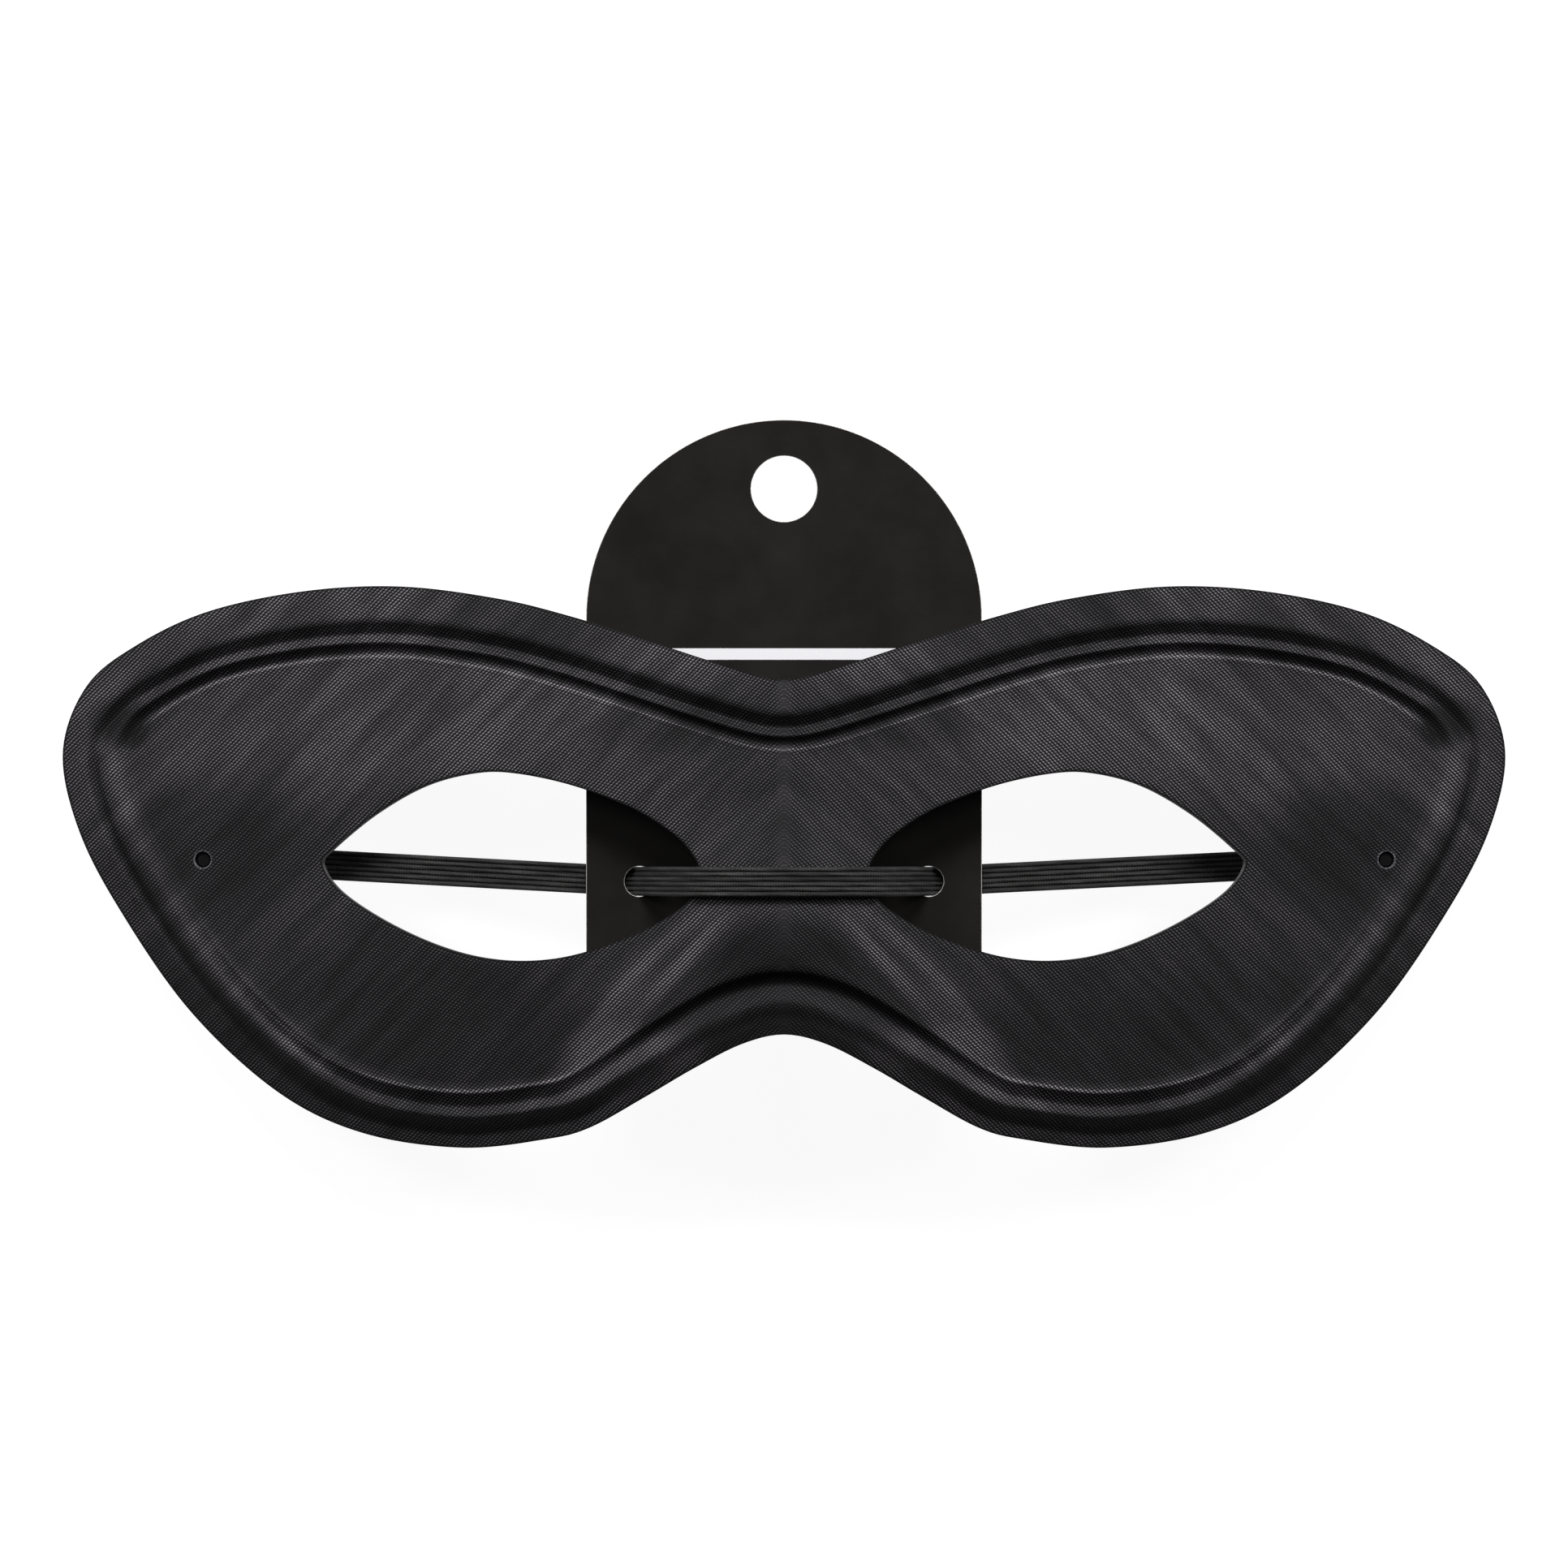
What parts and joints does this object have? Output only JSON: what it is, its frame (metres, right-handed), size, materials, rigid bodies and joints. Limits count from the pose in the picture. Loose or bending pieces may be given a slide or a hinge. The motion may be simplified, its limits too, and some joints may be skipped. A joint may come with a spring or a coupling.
{
  "type": "domino mask on a hang card",
  "caption": "Black cloth-covered domino half mask with a pressed bead round its edge, held to a plain round-topped hang card by its flat elastic.",
  "frame": {"origin": "bottom centre of the whole set's box, the mask lying on its back on the floor with its front up", "axes": "+X across the mask to the viewer's right, +Y from the cheeks to the brow and the card's top, +Z out of the mask's front, away from the face"},
  "size_m": [0.2288, 0.115, 0.0302],
  "materials": {
    "mask_cloth": "black satin weave pressed over a stiff felt, soft sheen",
    "elastic_braid": "flat braided elastic, matte black with lengthwise ribs",
    "card_board": "printed black card with a satin varnish and one plain pale stripe",
    "pin_plastic": "plain black moulding"
  },
  "bodies": {
    "root": {"mask_shell": "mask_cloth", "elastic_band": "elastic_braid", "backing_card": "card_board", "strap_pin_left": "pin_plastic", "strap_pin_right": "pin_plastic"}
  },
  "joints": []
}
